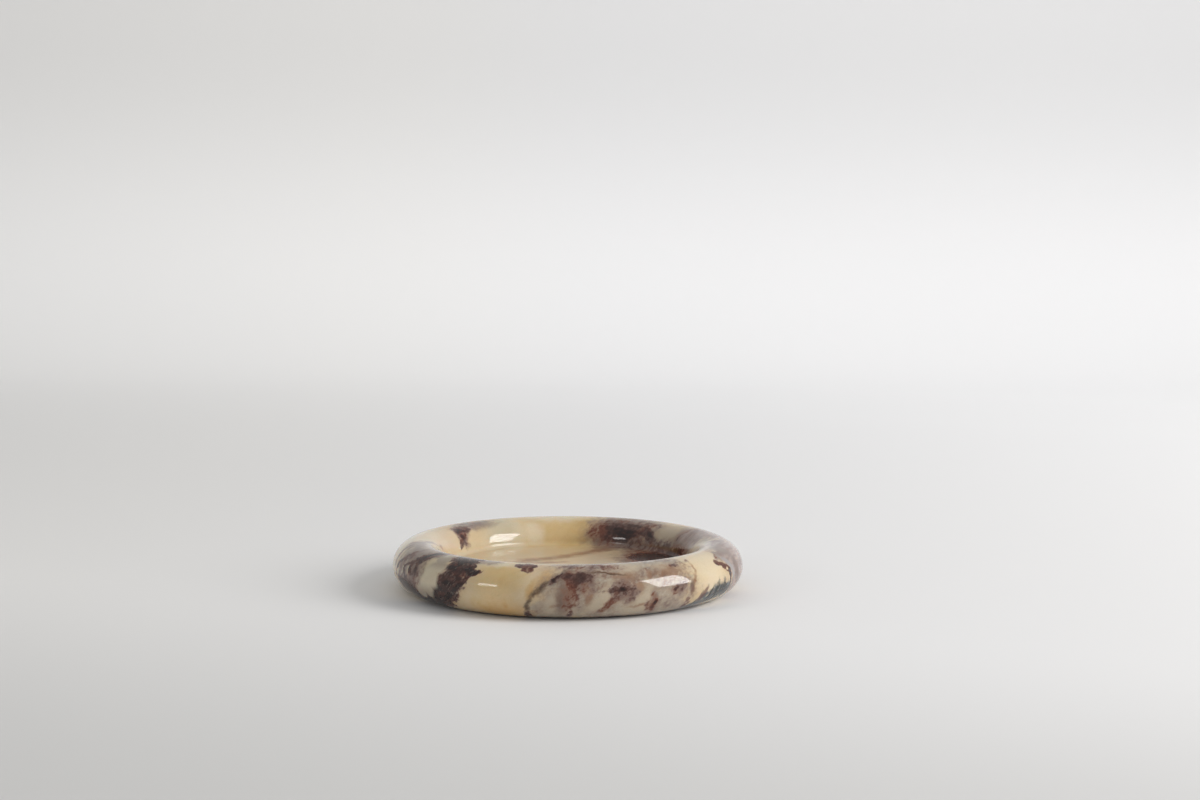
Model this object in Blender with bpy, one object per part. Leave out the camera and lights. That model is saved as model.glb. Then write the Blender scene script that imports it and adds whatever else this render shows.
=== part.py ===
"""Round stone tray, turned from one slab of veined marble, on four small silicone feet.

The slab's edge is rounded to a full bullnose, and a shallow recess is sunk into its upper face, so
that a rim of nearly round section stands about a flat floor. A cove joins the floor to the rim. The
feet are bonded into shallow pockets in the flat underside.

Lengths are in metres. The origin is on the table under the tray's centre, and +Z is up.
"""

import math

import bmesh
import bpy

MM = 0.001

# The stone
OUTER_DIAMETER = 200.0 * MM
STONE_HEIGHT = 27.8 * MM
RIM_WIDTH = 30.0 * MM
FLOOR_THICKNESS = 12.4 * MM
COVE_RADIUS = 3.0 * MM

# The feet, and how they sit in the stone
FOOT_COUNT = 4
FOOT_DIAMETER = 12.0 * MM
FOOT_THICKNESS = 1.6 * MM
FOOT_PROUD = 0.5 * MM
FOOT_EDGE_ROUND = 0.3 * MM
FOOT_MARGIN = 8.0 * MM
POCKET_CLEARANCE = 0.3 * MM
ADHESIVE_THICKNESS = 0.3 * MM

# How far a cutter runs past the face that it opens
CUT_OVERRUN = 1.0 * MM

# Facets
TURN_STEPS = 96
RIM_INNER_STEPS = 12
RIM_OUTER_STEPS = 24
COVE_STEPS = 5
FOOT_TURN_STEPS = 40
FOOT_EDGE_STEPS = 3
BISECTION_STEPS = 40

SHARP_ANGLE = math.radians(35.0)
FIRST_FOOT_ANGLE = math.radians(45.0)

# What follows from the sizes above
OUTER_RADIUS = OUTER_DIAMETER / 2
RIM_HALF_WIDTH = RIM_WIDTH / 2
RIM_HALF_HEIGHT = STONE_HEIGHT / 2
RIM_CENTRE_RADIUS = OUTER_RADIUS - RIM_HALF_WIDTH
FOOT_RADIUS = FOOT_DIAMETER / 2
FOOT_CIRCLE_RADIUS = RIM_CENTRE_RADIUS - FOOT_MARGIN - FOOT_RADIUS
POCKET_RADIUS = FOOT_RADIUS + POCKET_CLEARANCE
POCKET_DEPTH = FOOT_THICKNESS - FOOT_PROUD + ADHESIVE_THICKNESS


def clear_scene():
    """Remove whatever objects the scene starts with."""
    for old in list(bpy.data.objects):
        bpy.data.objects.remove(old)


def finish(name, colour, roughness):
    """A plain opaque finish of one colour."""
    material = bpy.data.materials.new(name)
    material.use_nodes = True
    shader = material.node_tree.nodes["Principled BSDF"]
    shader.inputs["Base Color"].default_value = (*colour, 1.0)
    shader.inputs["Roughness"].default_value = roughness
    shader.inputs["Metallic"].default_value = 0.0
    return material


def lathe(name, outline, steps):
    """Turn an open outline of (radius, height) points about +Z, and close each end with a flat disc."""
    shape = bmesh.new()
    points = [shape.verts.new((radius, 0, height)) for radius, height in outline]
    edges = [shape.edges.new(pair) for pair in zip(points, points[1:])]
    bmesh.ops.spin(
        shape,
        geom=points + edges,
        cent=(0, 0, 0),
        axis=(0, 0, 1),
        angle=math.tau,
        steps=steps,
        use_merge=True,
    )
    rims = [edge for edge in shape.edges if edge.is_boundary]
    bmesh.ops.holes_fill(shape, edges=rims)
    bmesh.ops.recalc_face_normals(shape, faces=shape.faces)
    mesh = bpy.data.meshes.new(name)
    shape.to_mesh(mesh)
    shape.free()
    mesh.shade_smooth()
    mesh.set_sharp_from_angle(angle=SHARP_ANGLE)
    return mesh


def place(name, mesh, location):
    """Put a mesh in the scene as a named object."""
    made = bpy.data.objects.new(name, mesh)
    made.location = location
    bpy.context.scene.collection.objects.link(made)
    return made


def rim_point(turn):
    """A point of the rim's elliptical section, as (radius, height): 0 is outermost, a quarter turn the top."""
    return (
        RIM_CENTRE_RADIUS + RIM_HALF_WIDTH * math.cos(turn),
        RIM_HALF_HEIGHT + RIM_HALF_HEIGHT * math.sin(turn),
    )


def rim_normal(turn):
    """The unit vector that points out of the rim's section there, as (radius, height)."""
    across = math.cos(turn) / RIM_HALF_WIDTH
    up = math.sin(turn) / RIM_HALF_HEIGHT
    size = math.hypot(across, up)
    return across / size, up / size


def cove_centre(turn):
    """The centre of a cove that touches the rim there, as (radius, height)."""
    radius, height = rim_point(turn)
    across, up = rim_normal(turn)
    return radius + COVE_RADIUS * across, height + COVE_RADIUS * up


def cove_turn():
    """Where on the rim the cove starts, so that it also touches the floor."""
    wanted = FLOOR_THICKNESS + COVE_RADIUS
    low, high = math.pi / 2, math.pi
    for _ in range(BISECTION_STEPS):
        middle = (low + high) / 2
        if cove_centre(middle)[1] > wanted:
            low = middle
        else:
            high = middle
    return high


def stone_outline():
    """Half the stone's section, from the floor's edge, up the cove, over the rim and down to the base."""
    start = cove_turn()
    centre_radius = cove_centre(start)[0]
    centre_height = FLOOR_THICKNESS + COVE_RADIUS
    across, up = rim_normal(start)
    cove_end = math.atan2(-up, -across)
    cove = []
    for step in range(COVE_STEPS):
        angle = -math.pi / 2 + (cove_end + math.pi / 2) * step / COVE_STEPS
        cove.append(
            (
                centre_radius + COVE_RADIUS * math.cos(angle),
                centre_height + COVE_RADIUS * math.sin(angle),
            )
        )
    if centre_height < rim_point(start)[1]:
        cove.append((centre_radius + COVE_RADIUS, centre_height))
    crest = math.pi / 2
    inner = [rim_point(start + (crest - start) * step / RIM_INNER_STEPS) for step in range(RIM_INNER_STEPS)]
    outer = [rim_point(crest - math.pi * step / RIM_OUTER_STEPS) for step in range(RIM_OUTER_STEPS + 1)]
    return cove + inner + outer


def foot_outline():
    """The foot's section, from its rounded lower edge to its bonded top, with the table at height 0."""
    outline = []
    for step in range(FOOT_EDGE_STEPS + 1):
        angle = math.pi / 2 * step / FOOT_EDGE_STEPS
        outline.append(
            (
                FOOT_RADIUS - FOOT_EDGE_ROUND + FOOT_EDGE_ROUND * math.sin(angle),
                FOOT_EDGE_ROUND - FOOT_EDGE_ROUND * math.cos(angle),
            )
        )
    outline.append((FOOT_RADIUS, FOOT_THICKNESS))
    return outline


def foot_places():
    """The feet's centres, evenly spaced on their circle."""
    places = []
    for number in range(FOOT_COUNT):
        angle = FIRST_FOOT_ANGLE + math.tau * number / FOOT_COUNT
        places.append((FOOT_CIRCLE_RADIUS * math.cos(angle), FOOT_CIRCLE_RADIUS * math.sin(angle)))
    return places


def make_stone():
    """The tray itself, standing clear of the table by what the feet leave proud."""
    mesh = lathe("stone_tray", stone_outline(), TURN_STEPS)
    mesh.materials.append(finish("veined_marble", (0.62, 0.52, 0.42), 0.12))
    return place("stone_tray", mesh, (0, 0, FOOT_PROUD))


def cut_pocket(stone, number, x, y):
    """Sink one foot's pocket into the underside."""
    outline = [(POCKET_RADIUS, -CUT_OVERRUN), (POCKET_RADIUS, POCKET_DEPTH)]
    name = f"pocket_cutter_{number}"
    cutter = place(name, lathe(name, outline, FOOT_TURN_STEPS), (x, y, FOOT_PROUD))
    cutter.hide_render = True
    cutter.display_type = "WIRE"
    cut = stone.modifiers.new(f"pocket_{number}", "BOOLEAN")
    cut.operation = "DIFFERENCE"
    cut.object = cutter


def make_foot(number, x, y):
    """One silicone foot, its lower face on the table."""
    name = f"foot_{number}"
    mesh = lathe(name, foot_outline(), FOOT_TURN_STEPS)
    mesh.materials.append(finish(f"silicone_{number}", (0.66, 0.65, 0.62), 0.55))
    return place(name, mesh, (x, y, 0))


def main():
    clear_scene()
    stone = make_stone()
    for number, (x, y) in enumerate(foot_places(), start=1):
        cut_pocket(stone, number, x, y)
        make_foot(number, x, y)


main()
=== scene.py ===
import math

import bpy
from mathutils import Matrix, Vector


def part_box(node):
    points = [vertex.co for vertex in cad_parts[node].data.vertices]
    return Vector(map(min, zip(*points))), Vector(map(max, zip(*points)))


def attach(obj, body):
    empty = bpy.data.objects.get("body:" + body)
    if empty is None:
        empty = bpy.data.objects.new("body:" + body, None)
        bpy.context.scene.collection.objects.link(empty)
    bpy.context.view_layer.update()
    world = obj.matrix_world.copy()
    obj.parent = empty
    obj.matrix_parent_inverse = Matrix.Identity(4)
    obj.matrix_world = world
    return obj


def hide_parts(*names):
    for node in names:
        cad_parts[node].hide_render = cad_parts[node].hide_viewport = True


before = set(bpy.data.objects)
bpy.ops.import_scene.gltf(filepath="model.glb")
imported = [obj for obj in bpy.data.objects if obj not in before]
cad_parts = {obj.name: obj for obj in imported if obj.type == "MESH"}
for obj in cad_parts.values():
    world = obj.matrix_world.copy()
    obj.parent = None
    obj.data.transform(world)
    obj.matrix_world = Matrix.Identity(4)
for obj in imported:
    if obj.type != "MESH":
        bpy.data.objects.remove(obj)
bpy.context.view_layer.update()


# The stone tray is one disc of veined breccia marble, its edge turned to a full bullnose. A shallow recess
# with a flat floor is sunk into its upper face, and a small cove joins that floor to the rim. Four shallow
# round pockets in the underside take the feet.

MM = 0.001
TRAY_LOW, TRAY_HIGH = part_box("stone_tray")
OUTER_RADIUS = TRAY_HIGH.x
STONE_HEIGHT = TRAY_HIGH.z - TRAY_LOW.z
RIM_WIDTH = 30 * MM
RIM_HALF_WIDTH = RIM_WIDTH / 2
RIM_HALF_HEIGHT = STONE_HEIGHT / 2
RIM_RADIUS = OUTER_RADIUS - RIM_HALF_WIDTH
RIM_MIDDLE = TRAY_LOW.z + RIM_HALF_HEIGHT
FLOOR_THICKNESS = 12.4 * MM
FLOOR_TOP = TRAY_LOW.z + FLOOR_THICKNESS
COVE_RADIUS = 3 * MM

# How finely the section and the turn are stepped
RIM_OUTER_STEPS = 52
RIM_INNER_STEPS = 25
COVE_STEPS = 10
TURN_STEPS = 288
FACE_RINGS = 5
SMOOTH_ANGLE = math.radians(35)
TURN_TOLERANCE = 1e-9
MERGE_DISTANCE = 0.001 * MM


def deselect_all():
    """Leave nothing selected, in object mode."""
    if bpy.context.object and bpy.context.object.mode != "OBJECT":
        bpy.ops.object.mode_set(mode="OBJECT")
    bpy.ops.object.select_all(action="DESELECT")


def pick_points(piece, wanted):
    """In edit mode, select only the points whose place passes the test."""
    bpy.ops.mesh.select_all(action="DESELECT")
    bpy.ops.object.mode_set(mode="OBJECT")
    for point in piece.data.vertices:
        point.select = bool(wanted(point.co))
    bpy.ops.object.mode_set(mode="EDIT")


def add_point(name, place):
    """A new mesh of one point: a plane whose corners are merged."""
    deselect_all()
    bpy.ops.mesh.primitive_plane_add(size=MM, location=(0, 0, 0))
    piece = bpy.context.object
    piece.name = name
    piece.data.name = name
    bpy.ops.object.mode_set(mode="EDIT")
    bpy.ops.mesh.select_mode(type="VERT")
    bpy.ops.mesh.select_all(action="SELECT")
    bpy.ops.mesh.merge(type="CENTER")
    bpy.ops.transform.translate(value=place)
    return piece


def rim_place(turn):
    """A point of the rim's oval section. Turn 0 is its outermost point, and a quarter turn is its crest."""
    return Vector((
        RIM_RADIUS + RIM_HALF_WIDTH * math.cos(turn),
        0,
        RIM_MIDDLE + RIM_HALF_HEIGHT * math.sin(turn),
    ))


def rim_facing(turn):
    """The unit vector that points straight out of the rim there."""
    return Vector((math.cos(turn) / RIM_HALF_WIDTH, 0, math.sin(turn) / RIM_HALF_HEIGHT)).normalized()


def cove_start():
    """The turn at which a cove that rests on the floor touches the rim."""
    low, high = math.pi / 2, math.pi
    while high - low > TURN_TOLERANCE:
        middle = (low + high) / 2
        centre = rim_place(middle) + rim_facing(middle) * COVE_RADIUS
        if centre.z > FLOOR_TOP + COVE_RADIUS:
            low = middle
        else:
            high = middle
    return high


def sweep_point(piece, place, centre, angle, steps):
    """Spin the one point at a place about a centre, in the plane of the section.

    A positive angle lifts +X towards +Z.
    """
    pick_points(piece, lambda point: (point - Vector(place)).length < MERGE_DISTANCE)
    bpy.ops.mesh.spin(steps=steps, angle=angle, center=centre, axis=(0, 1, 0))


def draw_to_axis(piece, place):
    """Extrude the point at a place straight to the tray's axis, in a few equal steps."""
    pick_points(piece, lambda point: (point - Vector(place)).length < MERGE_DISTANCE)
    for _ in range(FACE_RINGS):
        bpy.ops.mesh.extrude_region_move(TRANSFORM_OT_translate={"value": (-place[0] / FACE_RINGS, 0, 0)})


def turned_stone():
    """Draw half the section point by point, then spin it once round the tray's axis."""
    start = cove_start()
    touch = rim_place(start)
    centre = touch + rim_facing(start) * COVE_RADIUS
    piece = add_point("marble_tray", (0, 0, 1))
    sweep_point(piece, (0, 0, 1), (0, 0, 0), -math.pi, RIM_OUTER_STEPS)
    sweep_point(piece, (0, 0, 1), (0, 0, 0), start - math.pi / 2, RIM_INNER_STEPS)
    bpy.ops.mesh.select_all(action="SELECT")
    bpy.ops.transform.resize(value=(RIM_HALF_WIDTH, 1, RIM_HALF_HEIGHT), center_override=(0, 0, 0))
    bpy.ops.transform.translate(value=(RIM_RADIUS, 0, RIM_MIDDLE))
    lean = math.atan2(touch.z - centre.z, touch.x - centre.x)
    sweep_point(piece, touch, centre, -math.pi / 2 - lean, COVE_STEPS)
    draw_to_axis(piece, (centre.x, 0, FLOOR_TOP))
    draw_to_axis(piece, (RIM_RADIUS, 0, TRAY_LOW.z))
    bpy.ops.mesh.select_all(action="SELECT")
    bpy.ops.mesh.spin(steps=TURN_STEPS, angle=math.tau, center=(0, 0, 0), axis=(0, 0, 1))
    bpy.ops.mesh.select_all(action="SELECT")
    bpy.ops.mesh.remove_doubles(threshold=MERGE_DISTANCE)
    bpy.ops.mesh.normals_make_consistent(inside=False)
    bpy.ops.object.mode_set(mode="OBJECT")
    return piece


FEET = ["foot_1", "foot_2", "foot_3", "foot_4"]
POCKET_CLEARANCE = 0.3 * MM
ADHESIVE_THICKNESS = 0.3 * MM
POCKET_EASING = 0.25 * MM
POCKET_SIDES = 64


def foot_centre(node):
    """The middle of a foot's lower face."""
    low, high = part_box(node)
    return Vector(((low.x + high.x) / 2, (low.y + high.y) / 2, low.z))


def select_only(piece):
    """Leave one piece selected and active, in object mode."""
    deselect_all()
    piece.select_set(True)
    bpy.context.view_layer.objects.active = piece


def sink_pocket(stone, node):
    """Cut a foot's round pocket into the underside, with its mouth eased so that it doesn't chip.

    The cutter is a cylinder down to the easing, and then a cone that runs on as far past the underside.
    """
    low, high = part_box(node)
    centre = foot_centre(node)
    radius = (high.x - low.x) / 2 + POCKET_CLEARANCE
    roof = high.z + ADHESIVE_THICKNESS
    eased = TRAY_LOW.z + POCKET_EASING
    deselect_all()
    bpy.ops.mesh.primitive_cylinder_add(
        vertices=POCKET_SIDES,
        radius=radius,
        depth=roof - eased,
        location=(centre.x, centre.y, (roof + eased) / 2),
    )
    cutter = bpy.context.object
    bpy.ops.object.transform_apply(location=True, rotation=True, scale=True)
    bpy.ops.object.mode_set(mode="EDIT")
    bpy.ops.mesh.select_mode(type="VERT")
    pick_points(cutter, lambda point: point.z < eased + MERGE_DISTANCE)
    bpy.ops.mesh.extrude_region_move(TRANSFORM_OT_translate={"value": (0, 0, -2 * POCKET_EASING)})
    spread = 1 + 2 * POCKET_EASING / radius
    bpy.ops.transform.resize(value=(spread, spread, 1), center_override=centre)
    bpy.ops.object.mode_set(mode="OBJECT")
    select_only(stone)
    cut = stone.modifiers.new("pocket", "BOOLEAN")
    cut.operation = "DIFFERENCE"
    cut.object = cutter
    bpy.ops.object.modifier_apply(modifier=cut.name)
    bpy.data.objects.remove(cutter)


stone = turned_stone()
for node in FEET:
    sink_pocket(stone, node)
select_only(stone)
bpy.ops.object.shade_smooth_by_angle(angle=SMOOTH_ANGLE)


class Field:
    """A number from a shader socket, which can be added, multiplied and so on."""

    def __init__(self, shader, socket):
        self.shader = shader
        self.socket = socket

    def math(self, operation, *values):
        return self.shader.node("ShaderNodeMath", {"operation": operation}, values)

    def __add__(self, other):
        return self.math("ADD", self, other)

    def __radd__(self, other):
        return self.math("ADD", other, self)

    def __sub__(self, other):
        return self.math("SUBTRACT", self, other)

    def __rsub__(self, other):
        return self.math("SUBTRACT", other, self)

    def __mul__(self, other):
        return self.math("MULTIPLY", self, other)

    def __rmul__(self, other):
        return self.math("MULTIPLY", other, self)


class Shader:
    """One material's nodes. Its Principled BSDF is there from the start."""

    def __init__(self, name):
        self.material = bpy.data.materials.new(name)
        self.material.use_nodes = True
        self.nodes = self.material.node_tree.nodes
        self.links = self.material.node_tree.links
        self.surface = self.nodes["Principled BSDF"]

    def feed(self, socket, value):
        """Give a socket a link or a value. A colour of three numbers is opaque."""
        if isinstance(value, Field):
            self.links.new(value.socket, socket)
        elif socket.type == "RGBA":
            socket.default_value = (*value, 1)
        else:
            socket.default_value = value

    def node(self, kind, settings=None, inputs=(), output=0):
        """Add a node: its settings, a ramp's stops among them, then the values or links of its sockets."""
        made = self.nodes.new(kind)
        for name, value in (settings or {}).items():
            if name == "stops":
                ramp = made.color_ramp
                ramp.interpolation = "EASE"
                while len(ramp.elements) < len(value):
                    ramp.elements.new(1.0)
                for element, (level, colour) in zip(ramp.elements, value):
                    element.position = level
                    element.color = (*colour, 1)
            else:
                setattr(made, name, value)
        pairs = inputs.items() if isinstance(inputs, dict) else enumerate(inputs)
        for key, value in pairs:
            self.feed(made.inputs[key], value)
        return Field(self, made.outputs[output])

    def set(self, **values):
        """Set the surface's own sockets, named with underscores for spaces."""
        for name, value in values.items():
            self.feed(self.surface.inputs[name.replace("_", " ")], value)

    def place(self):
        return self.node("ShaderNodeTexCoord", output="Object")

    def measured(self, place, centre=(0, 0, 0), turned=(0, 0, 0), size=(1, 1, 1)):
        """The place as measured from a centre, along turned axes, in units of a size."""
        return self.node("ShaderNodeMapping", {"vector_type": "TEXTURE"}, [place, centre, turned, size])

    def part(self, place, axis):
        """One of a place's three numbers, X, Y or Z."""
        return self.node("ShaderNodeSeparateXYZ", {}, [place], axis)

    def vector(self, operation, *values):
        return self.node("ShaderNodeVectorMath", {"operation": operation}, values)

    def noise(self, place, size, detail=3.0, roughness=0.55, output=0):
        """Cloudy noise from 0 to 1, with its largest lumps about as wide as size."""
        inputs = {"Vector": place, "Scale": 1 / size, "Detail": detail, "Roughness": roughness}
        return self.node("ShaderNodeTexNoise", inputs=inputs, output=output)

    def waver(self, place, size, reach, detail=3.0):
        """Shift a place by noise, by up to about a quarter of the reach each way."""
        shift = self.vector("SUBTRACT", self.noise(place, size, detail, output=1), (0.5, 0.5, 0.5))
        return self.vector("MULTIPLY_ADD", shift, (reach, reach, reach), place)

    def ramp(self, value, low, high, start=0.0, end=1.0):
        """A smooth step from start, where the value is low, to end, where it is high."""
        inputs = [value, low, high, start, end]
        return self.node("ShaderNodeMapRange", {"interpolation_type": "SMOOTHSTEP"}, inputs)

    def blend(self, amount, first, second):
        """Mix two colours: all the first at 0, and all the second at 1.

        A Mix node has sockets for each kind of value. Inputs 6 and 7 and output 2 are the colours.
        """
        return self.node("ShaderNodeMix", {"data_type": "RGBA"}, {0: amount, 6: first, 7: second}, 2)

    def tones(self, value, stops):
        """Colours along a value, each full at its own level."""
        return self.node("ShaderNodeValToRGB", {"stops": stops}, [value])

    def tint(self, colour, share):
        """A colour darkened evenly to a share of itself."""
        return self.node("ShaderNodeVectorMath", {"operation": "SCALE"}, {"Vector": colour, "Scale": share})

    def highest(self, first, second):
        """The greater of two numbers."""
        return self.node("ShaderNodeMath", {"operation": "MAXIMUM"}, [first, second])

    def marks(self, place, wanted):
        """How far inside the nearest oval mark a place is: 1 at its middle and a half at its edge."""
        inside = None
        for centre, turned, half in wanted:
            local = self.measured(place, centre, turned, half * 2)
            depth = self.node("ShaderNodeTexGradient", {"gradient_type": "SPHERICAL"}, [local], "Fac")
            inside = self.highest(inside, depth) if inside else depth
        return inside


def rim_spot(azimuth, turn):
    """A place on the rim, by azimuth and turn in degrees, and the way the stone faces there.

    Azimuth -90 is the front and 0 is +X. Turn 0 is outermost, 90 the crest and 180 innermost.
    """
    spin = Matrix.Rotation(math.radians(azimuth), 3, "Z")
    turn = math.radians(turn)
    return spin @ rim_place(turn), spin @ rim_facing(turn)


def floor_spot(x, y):
    """A place on the floor of the recess, in millimetres, and the way it faces."""
    return Vector((x * MM, y * MM, FLOOR_TOP)), Vector((0, 0, 1))


# A mark's sizes are in millimetres, and so are these least depths under the surface
MARK_DEPTH = 5
VEIN_DEPTH = 4


def on_rim(azimuth, turn, along, up, lean=0, deep=None):
    """An oval mark on the rim, its half sizes in millimetres.

    A positive lean, in degrees, moves its top to a greater azimuth.
    """
    place, out = rim_spot(azimuth, turn)
    side = Matrix.Rotation(math.radians(azimuth), 3, "Z") @ Vector((0, 1, 0))
    rise = out.cross(side)
    lean = math.radians(lean)
    across = side * math.cos(lean) - rise * math.sin(lean)
    upward = rise * math.cos(lean) + side * math.sin(lean)
    turned = Matrix((across, upward, out)).transposed().to_euler()
    deep = deep or max(along, up, MARK_DEPTH)
    return place, turned, Vector((along, up, deep)) * MM


def on_floor(x, y, across, along, lean=0):
    """An oval mark on the floor of the recess, in millimetres, leaned to the right in degrees."""
    turned = Matrix.Rotation(-math.radians(lean), 3, "Z").to_euler()
    return floor_spot(x, y)[0], turned, Vector((across, along, MARK_DEPTH)) * MM


# How much longer each mark of a stroke is than the stretch that it covers
STROKE_OVERLAP = 1.6


def stroke(spots, thick, deep):
    """A chain of oval marks from each spot to the next, as one brush stroke.

    Its half thickness and its depth are in millimetres.
    """
    made = []
    for (start, out), (end, next_out) in zip(spots, spots[1:]):
        along = (end - start).normalized()
        out = out + next_out
        out = (out - along * out.dot(along)).normalized()
        turned = Matrix((along.cross(out), along, out)).transposed().to_euler()
        half = Vector((thick * MM, (end - start).length * STROKE_OVERLAP / 2, deep * MM))
        made.append(((start + end) / 2, turned, half))
    return made


def vein(path, thick, deep=VEIN_DEPTH):
    """A stroke on the rim, along pairs of azimuth and turn."""
    return stroke([rim_spot(azimuth, turn) for azimuth, turn in path], thick, deep)


def floor_vein(path, thick):
    """A stroke on the floor, along pairs of x and y in millimetres."""
    return stroke([floor_spot(x, y) for x, y in path], thick, MARK_DEPTH)


CREAM = (0.60, 0.49, 0.32)
TAN = (0.54, 0.41, 0.25)
PALE_CREAM = (0.63, 0.53, 0.37)
PEACH = (0.55, 0.42, 0.28)
FLOOR_TAN = (0.52, 0.39, 0.24)
PALE_HONEY = (0.66, 0.50, 0.28)
HONEY = (0.58, 0.42, 0.20)
DEEP_HONEY = (0.51, 0.35, 0.14)
AMBER = (0.52, 0.31, 0.10)
GREY_GREEN = (0.51, 0.44, 0.31)
PALE_GREEN = (0.56, 0.49, 0.36)
MAUVE_GREY = (0.22, 0.165, 0.135)
PINK_LILAC = (0.205, 0.124, 0.102)
PALE_LILAC = (0.33, 0.250, 0.225)
IVORY = (0.46, 0.385, 0.285)
COOL_WHITE = (0.31, 0.285, 0.275)
DUSK = (0.150, 0.092, 0.070)
RUST = (0.25, 0.13, 0.07)
SLATE = (0.098, 0.104, 0.105)
GREEN_BLACK = (0.020, 0.023, 0.021)
BROWN = (0.13, 0.060, 0.048)
UMBER = (0.080, 0.044, 0.026)

# Tones from one end to the other, each with the level at which it is full
LILAC_TONES = [
    (0.30, (0.16, 0.105, 0.082)),
    (0.40, (0.24, 0.170, 0.133)),
    (0.48, (0.31, 0.245, 0.190)),
    (0.56, (0.36, 0.298, 0.228)),
    (0.66, (0.42, 0.365, 0.290)),
]
STAIN_TONES = [
    (0.10, (0.34, 0.255, 0.200)),
    (0.28, (0.21, 0.138, 0.112)),
    (0.45, (0.115, 0.062, 0.048)),
    (0.62, (0.064, 0.027, 0.020)),
    (0.80, (0.036, 0.012, 0.008)),
    (1.00, (0.018, 0.005, 0.003)),
]
RED_TONES = [
    (0.10, (0.36, 0.250, 0.170)),
    (0.28, (0.25, 0.135, 0.088)),
    (0.45, (0.145, 0.050, 0.028)),
    (0.62, (0.080, 0.021, 0.011)),
    (0.80, (0.040, 0.009, 0.005)),
    (1.00, (0.018, 0.004, 0.002)),
]

# The stone's bedding leans to the right as it rises, and runs back and a little to the right
BEDDING_DIP = math.radians(45)
BEDDING_STRIKE = math.radians(20)
BEDDING_STRETCH = 1.6

# How wide the largest lumps of each pattern in the stone are
CLOUD_SIZE = 30 * MM
BRECCIA_SIZE = 26 * MM
HONEY_SIZE = 12 * MM
BEND_SIZE = 7 * MM
BEND_REACH = 5 * MM
RED_SIZE = 7 * MM
MOTTLE_SIZE = 4.5 * MM
LUMP_SIZE = 4 * MM
STREAK_SIZE = 3.5 * MM
STREAK_STRETCH = 3
BLOTCH_SIZE = 2.2 * MM
FLECK_SIZE = 1.6 * MM
SPECK_SIZE = 1.3 * MM
GRAIN_SIZE = 0.7 * MM

# The web of fine cracks, its cells bent by a waver
WEB_SIZE = 7 * MM
WEB_BEND_SIZE = 3 * MM
WEB_BEND_REACH = 4 * MM

# The pattern is crisp as far back as the first of these, and softer from the second
CRISP_AS_FAR_AS = 10 * MM
SOFT_FROM = 45 * MM

marble = Shader("polished_marble")
here = marble.place()
strike = Vector((math.sin(BEDDING_STRIKE), math.cos(BEDDING_STRIKE), 0))
level = Vector((math.cos(BEDDING_STRIKE), -math.sin(BEDDING_STRIKE), 0))
facing_bed = level * math.sin(BEDDING_DIP) - Vector((0, 0, 1)) * math.cos(BEDDING_DIP)
turned_bed = Matrix((facing_bed, strike, facing_bed.cross(strike))).transposed().to_euler()
bed = marble.measured(here, turned=turned_bed, size=(1, BEDDING_STRETCH, BEDDING_STRETCH))
bent = marble.waver(here, BEND_SIZE, BEND_REACH)
lumps = marble.noise(bed, LUMP_SIZE, 3, 0.55) - 0.5
crisp = marble.ramp(marble.part(here, "Y"), CRISP_AS_FAR_AS, SOFT_FROM, 1, 0.3)
specks = (marble.noise(bed, SPECK_SIZE, 2, 0.5) - 0.5) * crisp


def area(wanted, soft=0.1, lumpy=0.5, specked=0.3):
    """Where some marks cover the stone, from 0 to 1.

    Soft is how far their edge fades, and lumpy and specked are how much it is broken up.
    """
    inside = marble.marks(bent, wanted) + lumps * lumpy + specks * specked
    return marble.ramp(inside, 0.5 - soft, 0.5 + soft)


# The ground: cream, honey and grey-green clouds
clouds = marble.noise(bed, CLOUD_SIZE, 4)
colour = marble.blend(marble.ramp(clouds, 0.38, 0.62), CREAM, TAN)
peach_marks = [
    on_rim(166, 140, 14, 14),
    on_rim(-96, 68, 8, 8),
    on_rim(-30, 75, 10, 6),
]
colour = marble.blend(area(peach_marks, 0.35, 0.3, 0), colour, PEACH)
floor_marks = [on_floor(0, 0, 64, 64)]
colour = marble.blend(area(floor_marks, 0.35, 0.3, 0) * 0.8, colour, FLOOR_TAN)
honey_marks = [
    on_rim(-112, 42, 12, 11),
    on_rim(89, 150, 22, 14),
    on_rim(100, -10, 30, 16),
]
honey = marble.blend(marble.ramp(marble.noise(bed, HONEY_SIZE, 4), 0.36, 0.64), HONEY, DEEP_HONEY)
colour = marble.blend(area(honey_marks, 0.35, 0.3, 0) * 0.9, colour, honey)
pale_honey_marks = [on_rim(-114, -16, 10, 8)]
colour = marble.blend(area(pale_honey_marks, 0.4, 0.3, 0), colour, PALE_HONEY)
amber_marks = [
    on_rim(-112, -56, 16, 7),
    on_rim(-128.5, -27, 2.5, 3.5),
    on_rim(-97.6, 34, 3, 7, 30),
    on_rim(-101, 12, 2, 6, 20),
    on_rim(-109.3, -30, 2, 2.4),
]
colour = marble.blend(area(amber_marks, 0.4, 0.5, 0.2) * 0.75, colour, AMBER)
cream_marks = [
    on_rim(-114, 76, 10, 3),
    on_rim(-38, 45, 13, 18),
    on_rim(-175, 18, 16, 22),
    on_rim(118, 150, 8, 10),
    on_rim(107, 152, 6, 7),
    on_rim(95, 98, 24, 6),
    on_rim(170, 60, 20, 14),
]
colour = marble.blend(area(cream_marks, 0.3, 0.3, 0), colour, PALE_CREAM)
grey_green_marks = [
    on_rim(-138, 35, 8, 9),
    on_rim(-142, -10, 8, 14, 25),
    on_rim(124, 142, 12, 12),
]
colour = marble.blend(area(grey_green_marks, 0.3, 0.3, 0), colour, GREY_GREEN)

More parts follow.
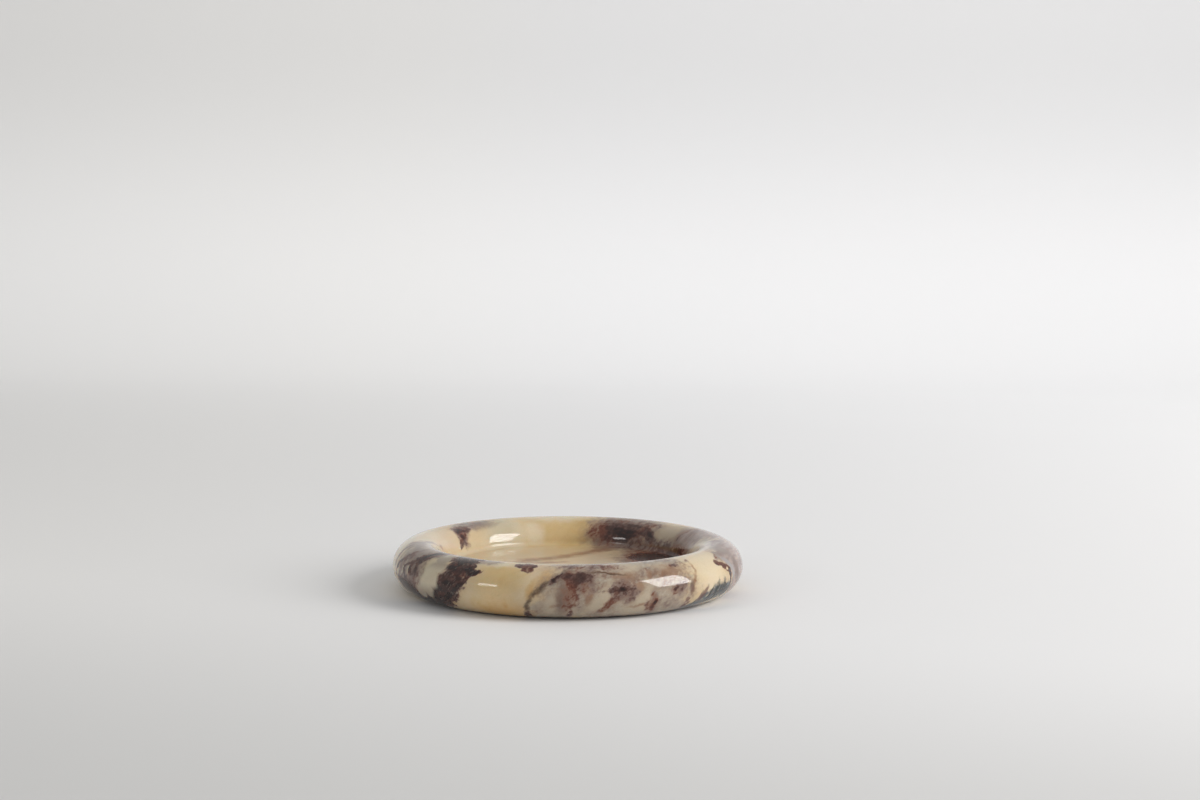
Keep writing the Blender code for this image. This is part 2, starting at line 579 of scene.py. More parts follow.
# The lilac ground, a cloudy breccia
mottle = marble.noise(bed, MOTTLE_SIZE, 6, 0.66)
lilac = marble.tones(mottle, LILAC_TONES)
pink_marks = [
    on_rim(-13, 28, 28, 22),
    on_rim(15, 130, 18, 16),
    on_rim(-148, 14, 4, 8),
]
streaked = marble.measured(bed, size=(1, STREAK_STRETCH, STREAK_STRETCH))
streaks = marble.ramp(marble.noise(streaked, STREAK_SIZE, 4), 0.38, 0.62)
pink = marble.blend(streaks, PINK_LILAC, PALE_LILAC)
lilac = marble.blend(marble.ramp(marble.marks(bent, pink_marks), 0.3, 0.6, 0, 0.8), lilac, pink)
lilac_marks = [
    # the broken middle of the front
    on_rim(-90, -2, 15, 15, 25),
    on_rim(-95, -50, 12, 12, 10),
    on_rim(-76, 20, 20, 20),
    on_rim(-60, 20, 20, 20),
    on_rim(-79, 84, 24, 9),
    on_rim(-57, 75, 14, 10),
    on_rim(-75, -45, 20, 14),
    on_rim(-58, -45, 14, 14),
    on_rim(-72, 140, 28, 14),
    # the right end
    on_rim(-14, 30, 22, 16),
    on_rim(-23.5, 50, 7, 8),
    on_rim(-22, 20, 7, 9),
    on_rim(-21, -12, 7, 8),
    on_rim(-10, 75, 20, 9),
    on_rim(-15, -25, 18, 12),
    on_rim(10, 40, 22, 20),
    on_rim(20, 130, 20, 14),
    # the left end
    on_rim(-147, 10, 8, 10, 20),
    on_rim(-152, 45, 9, 16),
    on_rim(-158, 66, 9, 16),
    on_rim(-155, 5, 10, 10),
    on_rim(-166, 88, 10, 7),
    on_rim(-154, 90, 18, 6),
    on_rim(-137, 82, 8, 5),
    on_rim(-120, 84, 9, 4),
    # behind, and over the crest of the dark corner
    on_rim(60, 122, 24, 11),
    on_rim(140, 108, 13, 5),
]
colour = marble.blend(area(lilac_marks, 0.2, 0.5, 0.3), colour, lilac)

# Fine rusty cracks, which net the darker parts of the front
web = marble.node(
    "ShaderNodeTexVoronoi",
    {"feature": "DISTANCE_TO_EDGE"},
    {"Vector": marble.waver(here, WEB_BEND_SIZE, WEB_BEND_REACH), "Scale": 1 / WEB_SIZE},
    "Distance",
)
web_marks = [
    on_rim(-93, -8, 8, 14, 20),
    on_rim(-75, -8, 16, 14, 20),
    on_rim(-56, 40, 14, 10),
]
crack = marble.ramp(web, 0.08, 0.0) * marble.ramp(mottle, 0.60, 0.45) * area(web_marks, 0.3, 0.5, 0.3)
colour = marble.blend(crack * 0.55, colour, RUST)

# Mauve-grey clouds and streaks in the lilac ground
mauve_marks = [
    *vein([(-154, 62), (-159, 77), (-167, 90), (-172, 104)], 3.2),
    *vein([(-165, 20), (-166.5, 44), (-167.5, 72)], 2),
    *vein([(-176, 118), (-171, 100), (-165, 96)], 2),
    on_rim(-169, 88, 3, 6),
    on_rim(-152, 62, 8, 9),
    on_rim(-152, 30, 4.5, 12),
    on_rim(-150, 0, 6, 8),
    on_rim(134, 110, 12, 5),
    on_rim(-19.8, 8, 3, 7),
    *vein([(-26.6, 72), (-28.4, 58), (-29.6, 46)], 3.2),
    *vein([(-29.4, 62), (-31, 50)], 1.4),
    on_rim(-20, 66, 8, 5),
    on_rim(-15, -28, 8, 5),
    on_rim(-24.5, -8, 2, 6),
]
colour = marble.blend(area(mauve_marks, 0.3, 0.5, 0.3) * 0.85, colour, MAUVE_GREY)

# Pale pieces caught in the lilac ground
pale_marks = [
    on_rim(-70, 71, 7, 6),
    on_rim(-80, -10, 4, 12, 42),
    on_rim(-66.6, -16, 5.5, 10, 30),
    on_rim(-69.5, -40, 7, 6),
    on_rim(-95, -24, 5, 9, 15),
    on_rim(-90, -32, 4, 5),
    on_rim(-58, 62, 5, 3),
    on_rim(-151.5, 12, 1.6, 5, -14),
    on_rim(-161.3, 41, 1.3, 5, -10),
    on_rim(-156.5, 12, 1.3, 5, -14),
]
colour = marble.blend(area(pale_marks, 0.3, 0.5, 0.3) * 0.85, colour, IVORY)
cool_marks = vein([(-27, 48), (-25.2, 31), (-23.8, 16), (-24.2, 0)], 2.2)
colour = marble.blend(area(cool_marks, 0.3, 0.4, 0.3), colour, COOL_WHITE)

# Soft rusty and tan stains
rust_marks = [
    on_rim(-55, 46, 9, 4.5),
    *vein([(-45.7, 52), (-46, 34)], 0.8),
    *vein([(-46.5, 26), (-48, 4)], 1),
    *vein([(-84, 53), (-74, 50), (-71.8, 40)], 0.7),
    on_rim(-92.4, -8, 2.2, 3.4),
    *vein([(-94.5, -24), (-91, -14)], 1),
    on_rim(-72, 40, 6, 3),
    on_rim(-63.7, 43, 1.6, 3.5),
    on_rim(-68, 14, 2.5, 4, 40),
    on_rim(-83.5, -6, 2, 3),
    *vein([(-64, -24), (-69, -29)], 0.9),
    *vein([(28, 148), (28, 128), (25, 100)], 1.5),
    on_rim(18, 164, 8, 2.5),
    on_rim(68, 178, 10, 2),
    *vein([(-175, 120), (-180, 140), (180, 152)], 0.7),
    on_rim(178, 143, 2.5, 1.5),
    *floor_vein([(-30, 9), (-18, 6), (-6, 9)], 3),
    on_floor(34, 16, 5, 8),
]
colour = marble.blend(area(rust_marks, 0.35, 0.6, 0.4) * 0.7, colour, RUST)
umber_marks = [
    *vein([(-89.6, 54), (-92, 47), (-94.6, 36), (-97, 24), (-99, 12), (-100.6, 0)], 1.5),
    *vein([(-101.2, -6), (-102.6, -22), (-102.8, -40), (-103, -56)], 1.2),
    *vein([(-89.6, 51), (-92.2, 43), (-94.8, 34)], 2.6),
    *vein([(-85, 53), (-79, 52), (-74, 47)], 0.6),
]
colour = marble.blend(area(umber_marks, 0.45, 0.6, 0.6) * 0.9, colour, UMBER)
long_vein = floor_vein([(-26, 14), (-17, 18), (-7, 24), (3, 33), (13, 43), (24, 58)], 5)
colour = marble.blend(area(long_vein, 0.4, 0.4, 0.3) * 0.92, colour, RUST)

# Dusky ground under the stained parts
dusk_marks = [
    *vein([(-141.5, 92), (-144.5, 70), (-147, 50), (-147.5, 30), (-148, 10), (-149, -10)], 4.4, 6),
    *vein([(-154, 70), (-156.5, 50), (-158.5, 30), (-158.5, 4)], 2.2),
    on_rim(-91, -4, 4.5, 9, 15),
    on_rim(-86, 34, 7, 6),
    on_rim(-73, 8, 6, 5, 20),
    *vein([(-72.5, 2), (-75.5, -9), (-77.7, -19), (-80, -38)], 1.4),
    on_rim(-62.8, -26, 2.8, 6),
    on_rim(-53.6, 4, 5, 2.8),
    on_rim(-48.6, 4, 2.2, 2.6),
    on_rim(-19.5, 9, 3, 6),
    on_rim(148, 130, 5, 4),
    on_rim(150, 146, 3.4, 4.5),
    on_rim(63, 144, 16, 12),
    on_rim(65, 158, 18, 12),
    *vein([(76, 170), (60, 176), (50, 176), (40, 176), (26, 174)], 7, 12),
    on_floor(47, 28, 16, 23, 10),
    on_floor(58, 18, 12, 27),
    on_floor(42, 47, 9, 12),
    on_floor(38, 14, 8, 13),
]
colour = marble.blend(area(dusk_marks, 0.3, 0.4, 0.2) * 0.9, colour, DUSK)
gap_in_dusk = [on_rim(37, 139, 9, 9)]
colour = marble.blend(area(gap_in_dusk, 0.35, 0.4, 0.2) * 0.9, colour, IVORY)

# Purple-brown stains, which darken inward from a mauve edge. First the faint shades
faint_marks = [
    # the left end
    on_rim(-146.5, 12, 4.5, 8),
    on_rim(-146.5, -10, 4, 5),
    *vein([(-158.5, -4), (-157.5, 20), (-156, 40), (-153, 60)], 2.4),
    *vein([(-165, 34), (-167, 55), (-167, 74)], 1.2),
    # the front
    *vein([(-90, 54), (-95, 32)], 2),
    on_rim(-86, 32, 9, 7),
    on_rim(-89, 2, 5.4, 9, 15),
    on_rim(-90, -12, 3.4, 5),
    *vein([(-92, 76), (-84, 74), (-74, 70)], 3),
    on_rim(-72.5, 9, 8, 6.5, 20),
    *vein([(-72.5, 2), (-75.5, -9), (-77.7, -19), (-80, -38)], 2.2),
    on_rim(-63.2, -30, 3, 6),
    on_rim(-53.5, 4, 6, 3.4),
    on_rim(-49.8, -28, 1.6, 2),
    on_rim(-50, -48, 1.8, 2.6),
    on_rim(-64, -28, 3.6, 5),
    on_rim(-46.2, 66, 1.6, 1.8),
    on_rim(-53, 60, 4, 2),
    *vein([(-29, 64), (-30.4, 52)], 1.4),
    *vein([(-30.4, 36), (-27.6, 24), (-26.8, 12), (-26.6, 0)], 2.4),
    # behind
    on_rim(77, 153, 5, 7),
    on_rim(61, 150, 21, 12),
    *vein([(72, 172), (60, 177), (50, 175), (40, 176), (28, 174), (18, 168)], 6, 8),
    *vein([(73, 122), (58, 116), (46, 118)], 3.4),
    *vein([(25, 108), (26.6, 130), (26.7, 148)], 1.6),
    *vein([(150, 112), (140, 114)], 3),
    on_rim(149, 140, 5, 8),
    # the floor
    on_floor(44, 26, 13, 20, 10),
    on_floor(44, 50, 10, 13),
]
# then the broken bands
brown_marks = [
    # the left end
    on_rim(-153, -24, 12, 6.5),
    on_rim(-147, -50, 12, 7),
    on_rim(-158, -11, 6, 3),
    *vein([(-162.5, -6), (-162, 8), (-160.4, 24), (-158.4, 38), (-156.6, 52), (-155, 68)], 1.3),
    *vein([(-153, 0), (-155.4, 18), (-154, 30), (-150, 40)], 1.1),
    *vein([(-149, 8), (-150.9, 24), (-149.6, 38), (-147, 52)], 1.5),
    on_rim(-146.6, 30, 2, 6),
    # the front
    *vein([(-91, 50), (-94.4, 38)], 1.2),
    on_rim(-103, -56, 2.2, 3.4),
    on_rim(-86.6, 40, 8, 3.8),
    on_rim(-90.5, 44, 5, 2.4),
    on_rim(-88.5, 27, 3, 3),
    *vein([(-76.6, 12), (-71, 13)], 1.6),
    *vein([(-72.8, 10), (-72.6, -2)], 1.6),
    *vein([(-62.2, -16), (-62.8, -30)], 1.8),
    *vein([(-63.1, -30), (-62.7, -48)], 1.4),
    # behind
    *vein([(74, 148), (66, 142), (54, 142)], 5.5, 7),
    *vein([(72, 158), (60, 160)], 5.5, 7),
    *vein([(52, 140), (47.5, 143), (45.5, 162)], 3.4),
    *vein([(70, 128), (54, 127)], 3),
    *vein([(26, 172), (18, 168)], 1.8),
    # the floor, a real stain that is darkened further here as a painted reflection of the dark back wall
    on_floor(48, 27, 14, 20, 10),
    on_floor(58, 18, 11, 25),
]
# the solid bands, whose edges are cleaner
solid_marks = [
    # the left band, from the recess over the crest and down to the base
    on_rim(-128, 140, 8, 12),
    *vein([(-128, 92), (-127.4, 66)], 9.2, 10),
    *vein([(-127.4, 66), (-126.9, 32)], 8, 9),
    *vein([(-126.9, 32), (-128.1, 12)], 7.8, 9),
    *vein([(-128.1, 12), (-131.4, -10)], 8.4, 9),
    *vein([(-131.4, -10), (-135, -30)], 9, 9),
    *vein([(-135, -30), (-141, -62)], 9.5, 9),
    *vein([(-123, 39), (-119.4, 43)], 1.8),
    # its neighbour further left
    *vein([(-141, 96), (-144, 73), (-146, 57), (-148.6, 44)], 3.2, 5),
    # the lower part of the stroke that edges the cream on the right
    *vein([(-26.4, 20), (-27.4, 6)], 1.5),
    *vein([(-27.4, 6), (-26.4, -18)], 1),
]
# the smaller ones: a triangle on the front's crest, one behind, and the upper part of that stroke
triangle_marks = [
    on_rim(-104.3, 78, 5.8, 3.2),
    *vein([(-104.2, 72), (-102.9, 54)], 2.5),
    on_rim(146, 122, 8, 3.6),
    *vein([(147.5, 130), (149.5, 147)], 3.2),
    *vein([(150, 148), (153.4, 164)], 1.8),
    *vein([(-33.4, 43), (-31, 36), (-28.4, 27), (-26.6, 17)], 2.3),
]
# and the darkest knots and veins
dark_marks = [
    # the left end
    *vein([(-130, 86), (-128.5, 74), (-128, 60)], 1.6),
    on_rim(-124, 70, 3, 1.2),
    on_rim(-129.4, 44, 2.4, 1.6),
    *vein([(-124.5, 46), (-122, 39), (-120, 43)], 1.2),
    *vein([(-122.4, 56), (-122, 34), (-124, 14)], 1.4),
    on_rim(-130, 10, 3, 1.4),
    *vein([(-125.4, 6), (-128, -10), (-131, -26)], 1.3),
    *vein([(-136, -34), (-142, -50), (-148, -66)], 5),
    on_rim(-133.6, -4, 2, 1.4),
    *vein([(-141.6, 86), (-146, 62)], 1),
    *vein([(-151, 30), (-150.6, 16)], 0.8),
    on_rim(-152, -27, 9, 3.4),
    on_rim(-146, -54, 10, 5),
    # the front
    *vein([(-101, 80), (-102.2, 68)], 0.9),
    on_rim(-94.6, 35, 1.8, 1, 30),
    on_rim(-89.5, -50, 2, 2.4),
    on_rim(-73.2, 12, 1.8, 1),
    on_rim(-63.9, 56, 1, 1.3),
    on_rim(-62.3, -21, 1.2, 1.2),
    on_rim(-55, 4.5, 1.6, 0.8),
    on_rim(-27.2, 16, 1.1, 1.4),
    # behind
    *vein([(66, 154), (58, 157)], 1.6),
    *vein([(66, 144), (57, 146)], 1.4),
    *vein([(48.2, 142), (46.2, 150)], 1),
    on_rim(148, 125, 4, 1.6),
    on_rim(149, 142, 1.4, 2.4),
    # the floor
    on_floor(48, 28, 9, 14, 10),
    on_floor(58, 18, 8, 20),
]
# Some of the stain is redder
red_marks = [
    on_rim(76, 155, 7, 9),
    on_rim(22, 168, 9, 4),
    on_rim(-29.5, 33, 6, 9),
    on_rim(-78, -26, 5, 6),
    on_rim(-63, -28, 4, 7),
    on_rim(-90, 0, 5, 9),
    on_rim(-103, 70, 4, 5),
    on_floor(38, 20, 10, 16),
    on_floor(46, 32, 16, 18),
]
blotch = (marble.noise(bed, BLOTCH_SIZE, 3, 0.6) - 0.5) * (crisp * 0.5 + 0.5)
broken_edge = lumps * 0.45 + specks * 0.3
solid_edge = lumps * 0.1 + specks * 0.4
faint = marble.ramp(marble.marks(bent, faint_marks) + broken_edge, 0.2, 0.8, 0, 0.36)
band = marble.ramp(marble.marks(bent, brown_marks) + broken_edge, 0.24, 0.74, 0, 0.56)
solid = marble.ramp(marble.marks(bent, solid_marks) + solid_edge, 0.25, 0.7, 0, 0.72)
triangle = marble.ramp(marble.marks(bent, triangle_marks) + broken_edge * 0.5, 0.32, 0.64, 0, 0.46)
knot = marble.ramp(marble.marks(bent, dark_marks) + broken_edge, 0.2, 0.8, 0, 0.38)
stain = marble.highest(marble.highest(faint, band), marble.highest(solid, triangle)) + knot
stain = stain + blotch * marble.ramp(stain, 0.0, 0.3, 0, 1.05)
reddened = marble.ramp(marble.noise(bed, RED_SIZE, 3), 0.46, 0.64, 0, 0.8)
reddened = marble.highest(reddened, marble.ramp(marble.marks(bent, red_marks), 0.3, 0.7))
stained = marble.blend(reddened, marble.tones(stain, STAIN_TONES), marble.tones(stain, RED_TONES))
colour = marble.blend(marble.ramp(stain, 0.04, 0.42), colour, stained)
flecks = marble.ramp(marble.noise(bed, FLECK_SIZE, 4, 0.65), 0.54, 0.66) * solid
colour = marble.blend(flecks * 0.7, colour, MAUVE_GREY)

# The pale stripe beside the left band, with clean edges. It greys towards the crest, and its lower part is
# darkened towards the base with painted shade
SHADE_PAINTED_BELOW = 16 * MM
SHADE_DEEPEST_AT_BASE = 8 * MM
GREYS_ABOVE = 21 * MM
GREYEST_HIGH = 26 * MM
stripe_marks = [
    *vein([(-136.4, 70), (-137, 54)], 4.6, 8),
    *vein([(-136.3, 50), (-136.2, 31)], 7.4, 8),
    *vein([(-136.6, 26), (-139, 8)], 7, 8),
    *vein([(-138.4, 2), (-140.9, -14)], 6.2, 8),
    *vein([(-141.8, -14), (-143.8, -27)], 4, 8),
]
stripe = marble.blend(marble.ramp(mottle, 0.40, 0.60, 0.2, 0), PALE_GREEN, IVORY)
height = marble.part(here, "Z")
# Painted shade: from this height down to the base the stripe is greyed, standing for the shade that falls
# low on the rim
stripe = marble.blend(marble.ramp(height, SHADE_PAINTED_BELOW, SHADE_DEEPEST_AT_BASE, 0, 0.6), stripe, MAUVE_GREY)
stripe = marble.blend(marble.ramp(height, GREYS_ABOVE, GREYEST_HIGH, 0, 0.6), stripe, MAUVE_GREY)
colour = marble.blend(area(stripe_marks, 0.12, 0.12, 0.08), colour, stripe)

# One painted glint: a small pale spot in the stroke that edges the cream
painted_glint = [on_rim(-28.1, 22.5, 0.9, 0.9)]
colour = marble.blend(area(painted_glint, 0.3, 0.3, 0.2), colour, PALE_CREAM)

# The slate and green-black mass low on the right, which ends in teeth against the cream
slate_marks = [
    *vein([(-27.5, -24), (-32, -28), (-36, -34), (-42, -42), (-48, -62)], 4.4, 5),
    *vein([(-31.6, -12), (-35, -12), (-38, -18)], 2),
    *vein([(-40, -20), (-44, -32)], 2),
]
colour = marble.blend(area(slate_marks, 0.25, 0.5, 0.5), colour, SLATE)
green_marks = [
    *vein([(-31.4, -6), (-31.4, -32)], 2.4),
    *vein([(-33.2, -8), (-34, -32)], 1.3),
    *vein([(-35, -4), (-36.4, -32)], 1.3),
    *vein([(-30, -14), (-29.4, -32)], 1.2),
    *vein([(-38, -12), (-39.6, -32)], 0.7),
    *vein([(-36.3, -40), (-42, -54), (-50, -64)], 1.6),
    *vein([(-27.6, -26), (-30, -38)], 1.6),
    *vein([(-46, -42), (-49.6, -60)], 1),
]
colour = marble.blend(area(green_marks, 0.25, 0.4, 0.4) * 0.92, colour, GREEN_BLACK)
brown_teeth = [
    *vein([(-41.4, -4), (-42.4, -18)], 1.1),
    *vein([(-42.2, -14), (-43.4, -28)], 1.6),
    *vein([(-43.6, -18), (-44.6, -32)], 1),
    *vein([(-48.6, -34), (-49.4, -42)], 0.9),
]
colour = marble.blend(area(brown_teeth, 0.3, 0.5, 0.5) * 0.8, colour, BROWN)

# Behind, beneath and on the near side of the recess, the same breccia runs on
UNDERSIDE_RADIUS = 92 * MM
UNDERSIDE_DEPTH = 2 * MM
underside = (
    Vector((0, 0, TRAY_LOW.z)),
    (0, 0, 0),
    Vector((UNDERSIDE_RADIUS, UNDERSIDE_RADIUS, UNDERSIDE_DEPTH)),
)
far_marks = [
    on_rim(30, 0, 34, 14, deep=9),
    on_rim(65, 5, 34, 15, deep=9),
    on_rim(110, 5, 34, 15, deep=9),
    on_rim(150, 0, 34, 14, deep=9),
    on_rim(-130, 150, 20, 11, deep=8),
    on_rim(-100, 152, 26, 11, deep=8),
    on_rim(-60, 152, 26, 11, deep=8),
    on_floor(0, -46, 46, 26),
    underside,
]
# The octaves of a noise line up at its origin, where they would show as rays, so this one's is moved
# well clear of the tray
MOVED_ASIDE = (0.31, 0.17, 0.23)
aside = marble.vector("ADD", bed, MOVED_ASIDE)
broken = marble.noise(aside, BRECCIA_SIZE, 5, 0.55) + lumps * 0.05 + specks * 0.04
far = area(far_marks, 0.25, 0.4, 0)
colour = marble.blend(marble.ramp(broken, 0.50, 0.56) * far, colour, lilac)
broken_stain = marble.tones(marble.ramp(broken, 0.55, 0.68) + blotch * 0.9, STAIN_TONES)
colour = marble.blend(marble.ramp(broken, 0.55, 0.59) * far, colour, broken_stain)

# The crystals: a fine grain in the colour
grain = marble.noise(here, GRAIN_SIZE, 3, 0.6)
colour = marble.blend(marble.ramp(grain, 0.3, 0.75, 0, 0.18), colour, marble.tint(colour, 0.6))

# The rim and its walls are polished, the recess is honed to a satin, and the base is left matt
POLISHED = 0.05
HONED = 0.16
SAWN = 0.40
RECESS_EDGE = RIM_RADIUS - RIM_HALF_WIDTH
EDGE_FADE = 0.5 * MM
BASE_FADE_START = TRAY_LOW.z + 0.6 * MM
BASE_FADE_END = TRAY_LOW.z + 0.1 * MM
ABOVE_POCKETS = 10 * MM
BUMP_HEIGHT = 0.03 * MM
RIPPLE_SIZE = 22 * MM
TURNING_SIZE = 1.6 * MM
SAW_SIZE = 0.9 * MM
SAW_DIRECTION = 0.4
SAW_STRETCH = 40

radius = marble.node(
    "ShaderNodeVectorMath",
    {"operation": "LENGTH"},
    [marble.vector("MULTIPLY", here, (1, 1, 0))],
    "Value",
)
in_recess = marble.ramp(radius, RECESS_EDGE + EDGE_FADE, RECESS_EDGE - EDGE_FADE)
in_recess = in_recess * marble.ramp(height, ABOVE_POCKETS, ABOVE_POCKETS + MM)
on_base = marble.ramp(height, BASE_FADE_START, BASE_FADE_END)
outward = marble.node("ShaderNodeCombineXYZ", {}, [radius, 0.0, 0.0])
turning = marble.noise(outward, TURNING_SIZE, 3)
polish = POLISHED + (HONED + 0.05 * turning) * in_recess + SAWN * on_base
ripple = marble.noise(here, RIPPLE_SIZE, 2)
along_saw = marble.measured(here, turned=(0, 0, SAW_DIRECTION), size=(1, SAW_STRETCH, 1))
saw_marks = marble.noise(along_saw, SAW_SIZE, 2) * on_base
uneven = ripple + turning * in_recess * 0.006 + saw_marks * 0.8
relief = marble.node("ShaderNodeBump", inputs={"Strength": 1.0, "Distance": BUMP_HEIGHT, "Height": uneven})
marble.set(
    Base_Color=colour,
    Roughness=polish,
    Normal=relief,
    IOR=1.5,
    Subsurface_Weight=0.7,
    Subsurface_Radius=(1.0, 0.55, 0.35),
    Subsurface_Scale=2 * MM,
)
stone.data.materials.clear()
stone.data.materials.append(marble.material)
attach(stone, "root")
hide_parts("stone_tray")


# Four feet of soft, milky silicone. Each is a small moulded disc with a rounded edge and a shallow dished
# face, bonded into its pocket. Together they hold the stone half a millimetre off the table.

FOOT_SIDES = 64
FOOT_EDGE_ROUND = 0.3 * MM
FOOT_EDGE_STEPS = 4
FOOT_RING = 1.4 * MM
FOOT_DISH_SLOPE = 0.7 * MM
FOOT_DISH_DEPTH = 0.12 * MM
MILK = (0.62, 0.61, 0.58)
PALE_MILK = (0.70, 0.69, 0.66)
DUST = (0.45, 0.42, 0.38)
MILK_SIZE = 5 * MM
SHEEN_SIZE = 3 * MM
DUST_SIZE = 0.35 * MM
MOULD_GRAIN = 0.25 * MM
MOULD_RELIEF = 0.01 * MM


def moulded_foot(node):
    """A round foot in its place, with its lower edge rounded and its face dished inside a plain ring."""
    low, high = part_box(node)
    centre = foot_centre(node)
    deselect_all()
    bpy.ops.mesh.primitive_cylinder_add(
        vertices=FOOT_SIDES,
        radius=(high.x - low.x) / 2,
        depth=high.z - low.z,
        location=(centre.x, centre.y, (low.z + high.z) / 2),
    )
    foot = bpy.context.object
    foot.name = "silicone_" + node
    foot.data.name = foot.name
    bpy.ops.object.transform_apply(location=True, rotation=True, scale=True)
    bpy.ops.object.mode_set(mode="EDIT")
    bpy.ops.mesh.select_mode(type="VERT")
    pick_points(foot, lambda point: point.z < low.z + MERGE_DISTANCE)
    bpy.ops.mesh.bevel(
        offset=FOOT_EDGE_ROUND,
        offset_type="OFFSET",
        segments=FOOT_EDGE_STEPS,
        affect="EDGES",
    )
    # the lower face is the only one that now lies flat at the foot's lowest level
    bpy.ops.mesh.select_mode(type="FACE")
    bpy.ops.mesh.select_all(action="DESELECT")
    bpy.ops.object.mode_set(mode="OBJECT")
    for face in foot.data.polygons:
        face.select = face.center.z < low.z + MERGE_DISTANCE
    bpy.ops.object.mode_set(mode="EDIT")
    bpy.ops.mesh.inset(thickness=FOOT_RING, depth=0)
    bpy.ops.mesh.inset(thickness=FOOT_DISH_SLOPE, depth=-FOOT_DISH_DEPTH)
    bpy.ops.object.mode_set(mode="OBJECT")
    bpy.ops.object.shade_smooth_by_angle(angle=SMOOTH_ANGLE)
    return foot


silicone = Shader("milky_silicone")
here = silicone.place()
milk = silicone.blend(silicone.noise(here, MILK_SIZE, 3), MILK, PALE_MILK)
dusty = silicone.ramp(silicone.noise(here, DUST_SIZE, 2), 0.66, 0.72, 0, 0.5)
moulded = silicone.node(
    "ShaderNodeBump",
    inputs={"Strength": 1.0, "Distance": MOULD_RELIEF, "Height": silicone.noise(here, MOULD_GRAIN, 2)},
)
silicone.set(
    Base_Color=silicone.blend(dusty, milk, DUST),
    Roughness=silicone.ramp(silicone.noise(here, SHEEN_SIZE, 2), 0.3, 0.7, 0.42, 0.6),
    Normal=moulded,
    IOR=1.41,
    Subsurface_Weight=0.8,
    Subsurface_Radius=(1.0, 0.95, 0.85),
    Subsurface_Scale=1.2 * MM,
)
for node in FEET:
    foot = moulded_foot(node)
    foot.data.materials.clear()
    foot.data.materials.append(silicone.material)
    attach(foot, "root")
    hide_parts(node)


# The table and the backdrop are one sheet of white paper, laid flat under the tray and swept up in a wide
# curve behind it. A faint glow lifts its far right side to the level that it has in the photograph.

SWEEP_HALF_WIDTH = 4.0
SWEEP_FRONT = -3.0
SWEEP_BACK = 1.6
SWEEP_RADIUS = 0.8
SWEEP_HEIGHT = 3.0
SWEEP_STEPS = 24
PAPER_WHITE = (0.78, 0.775, 0.775)
PAINTED_WARM_BOUNCE = (0.79, 0.78, 0.765)
PAINTED_PAPER_SHADE = (0.60, 0.595, 0.585)
GLOW = (0.24, 0.24, 0.245)

# Where each tone of the paper starts and where it is full, in metres across, away or up
WARM_BOUNCE_STARTS = 0.1
WARM_BOUNCE_FULL = -0.4
SHADE_SLANT = 0.35
SHADE_STARTS = -0.06
SHADE_FULL = -0.5
GLOW_SLANT = 0.65
GLOW_STARTS = -0.2
GLOW_FULL = 2.3
GLOW_FADES_FROM = 0.1
GLOW_FAINT_FROM = 0.6


def paper_sweep():
    """Draw the sweep's side edge from front to top, then extrude it across."""
    paper = add_point("paper_sweep", (-SWEEP_HALF_WIDTH, SWEEP_FRONT, 0))
    bpy.ops.mesh.extrude_region_move(TRANSFORM_OT_translate={"value": (0, SWEEP_BACK - SWEEP_FRONT, 0)})
    bpy.ops.mesh.spin(
        steps=SWEEP_STEPS,
        angle=-math.pi / 2,
        center=(-SWEEP_HALF_WIDTH, SWEEP_BACK, SWEEP_RADIUS),
        axis=(1, 0, 0),
    )
    bpy.ops.mesh.extrude_region_move(TRANSFORM_OT_translate={"value": (0, 0, SWEEP_HEIGHT)})
    bpy.ops.mesh.select_all(action="SELECT")
    bpy.ops.mesh.extrude_region_move(TRANSFORM_OT_translate={"value": (2 * SWEEP_HALF_WIDTH, 0, 0)})
    bpy.ops.object.mode_set(mode="OBJECT")
    bpy.ops.object.shade_smooth()
    return paper


paper = paper_sweep()
white = Shader("white_paper")
here = white.place()
across = white.part(here, "X")
away = white.part(here, "Y")
height = white.part(here, "Z")
# Painted light: towards the left the white paper is tinted warm, standing for warm bounce light in the
# tray's shadow
tone = white.blend(white.ramp(across, WARM_BOUNCE_STARTS, WARM_BOUNCE_FULL), PAPER_WHITE, PAINTED_WARM_BOUNCE)
# Painted shade: the paper's colour darkens towards the front and the left
shaded = white.ramp(away + across * SHADE_SLANT, SHADE_STARTS, SHADE_FULL)
tone = white.blend(shaded, tone, PAINTED_PAPER_SHADE)
lit = white.ramp(away + across * GLOW_SLANT, GLOW_STARTS, GLOW_FULL)
lit = lit * white.ramp(height, GLOW_FADES_FROM, GLOW_FAINT_FROM, 1, 0.3)
white.set(
    Base_Color=tone,
    Roughness=0.9,
    Specular_IOR_Level=0.2,
    Emission_Color=white.blend(lit, (0, 0, 0), GLOW),
    Emission_Strength=1.0,
)
paper.data.materials.clear()
paper.data.materials.append(white.material)


# The light is one large softbox from the right, a little towards the camera, with a small lamp at the front
# left and a soft fill from the room. Both lamps are rectangles that face the tray.

LAMP_DISTANCE = 2.4
ROOM_COLOUR = (0.975, 0.985, 0.985, 1)
ROOM_STRENGTH = 0.55


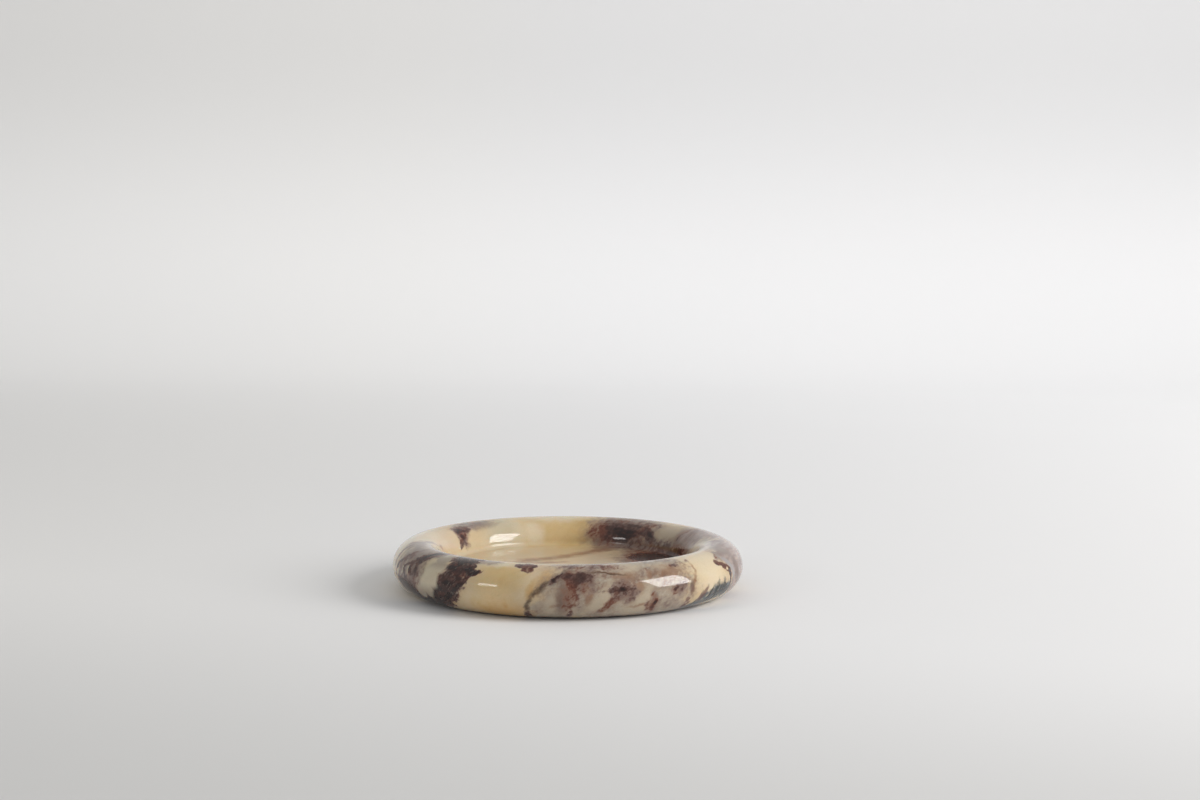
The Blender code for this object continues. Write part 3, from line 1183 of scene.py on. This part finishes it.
def add_lamp(name, bearing, height, width, tall, radiance, colour):
    """A lamp at a bearing, in degrees clockwise from straight behind the tray, and at a height angle.

    Its radiance is how bright its face looks, where 1 is white.
    """
    bearing, height = math.radians(bearing), math.radians(height)
    way = Vector((
        math.sin(bearing) * math.cos(height),
        math.cos(bearing) * math.cos(height),
        math.sin(height),
    ))
    deselect_all()
    bpy.ops.object.light_add(type="AREA", location=way * LAMP_DISTANCE)
    lamp = bpy.context.object
    lamp.name = name
    lamp.rotation_euler = way.to_track_quat("Z", "Y").to_euler()
    lamp.data.shape = "RECTANGLE"
    lamp.data.size = width
    lamp.data.size_y = tall
    lamp.data.energy = radiance * math.pi * width * tall
    lamp.data.color = colour


add_lamp(
    "softbox",
    bearing=109,
    height=26,
    width=1.14,
    tall=1.45,
    radiance=9.5,
    colour=(1.0, 0.985, 0.975),
)
add_lamp(
    "side_lamp",
    bearing=-127,
    height=21,
    width=0.5,
    tall=0.34,
    radiance=6.5,
    colour=(1.0, 0.98, 0.96),
)
world = bpy.data.worlds.new("room")
bpy.context.scene.world = world
world.use_nodes = True
background = world.node_tree.nodes["Background"]
background.inputs["Color"].default_value = ROOM_COLOUR
background.inputs["Strength"].default_value = ROOM_STRENGTH


# The camera stands five diameters from the tray, low, and looks a little down and to the tray's right, as it
# did for the photograph.

CAMERA_DISTANCE = 10 * OUTER_RADIUS
CAMERA_HEIGHT_ANGLE = math.radians(10.93)
CAMERA_YAW = math.radians(1.037)
CAMERA_PITCH = math.radians(-4.749)
CAMERA_ROLL = math.radians(0.362)
CAMERA_LENS = 51.88
CAMERA_SENSOR = 36

deselect_all()
place = Vector((0, -math.cos(CAMERA_HEIGHT_ANGLE), math.sin(CAMERA_HEIGHT_ANGLE))) * CAMERA_DISTANCE
bpy.ops.object.camera_add(location=place)
camera = bpy.context.object
camera.data.sensor_width = CAMERA_SENSOR
camera.data.lens = CAMERA_LENS
look = Vector((
    math.sin(CAMERA_YAW) * math.cos(CAMERA_PITCH),
    math.cos(CAMERA_YAW) * math.cos(CAMERA_PITCH),
    math.sin(CAMERA_PITCH),
))
side = Vector((math.cos(CAMERA_YAW), -math.sin(CAMERA_YAW), 0))
up = side.cross(look)
right = side * math.cos(CAMERA_ROLL) + up * math.sin(CAMERA_ROLL)
over = up * math.cos(CAMERA_ROLL) - side * math.sin(CAMERA_ROLL)
camera.rotation_euler = Matrix((right, over, -look)).transposed().to_euler()
bpy.context.scene.camera = camera
bpy.context.scene.view_settings.view_transform = "Standard"
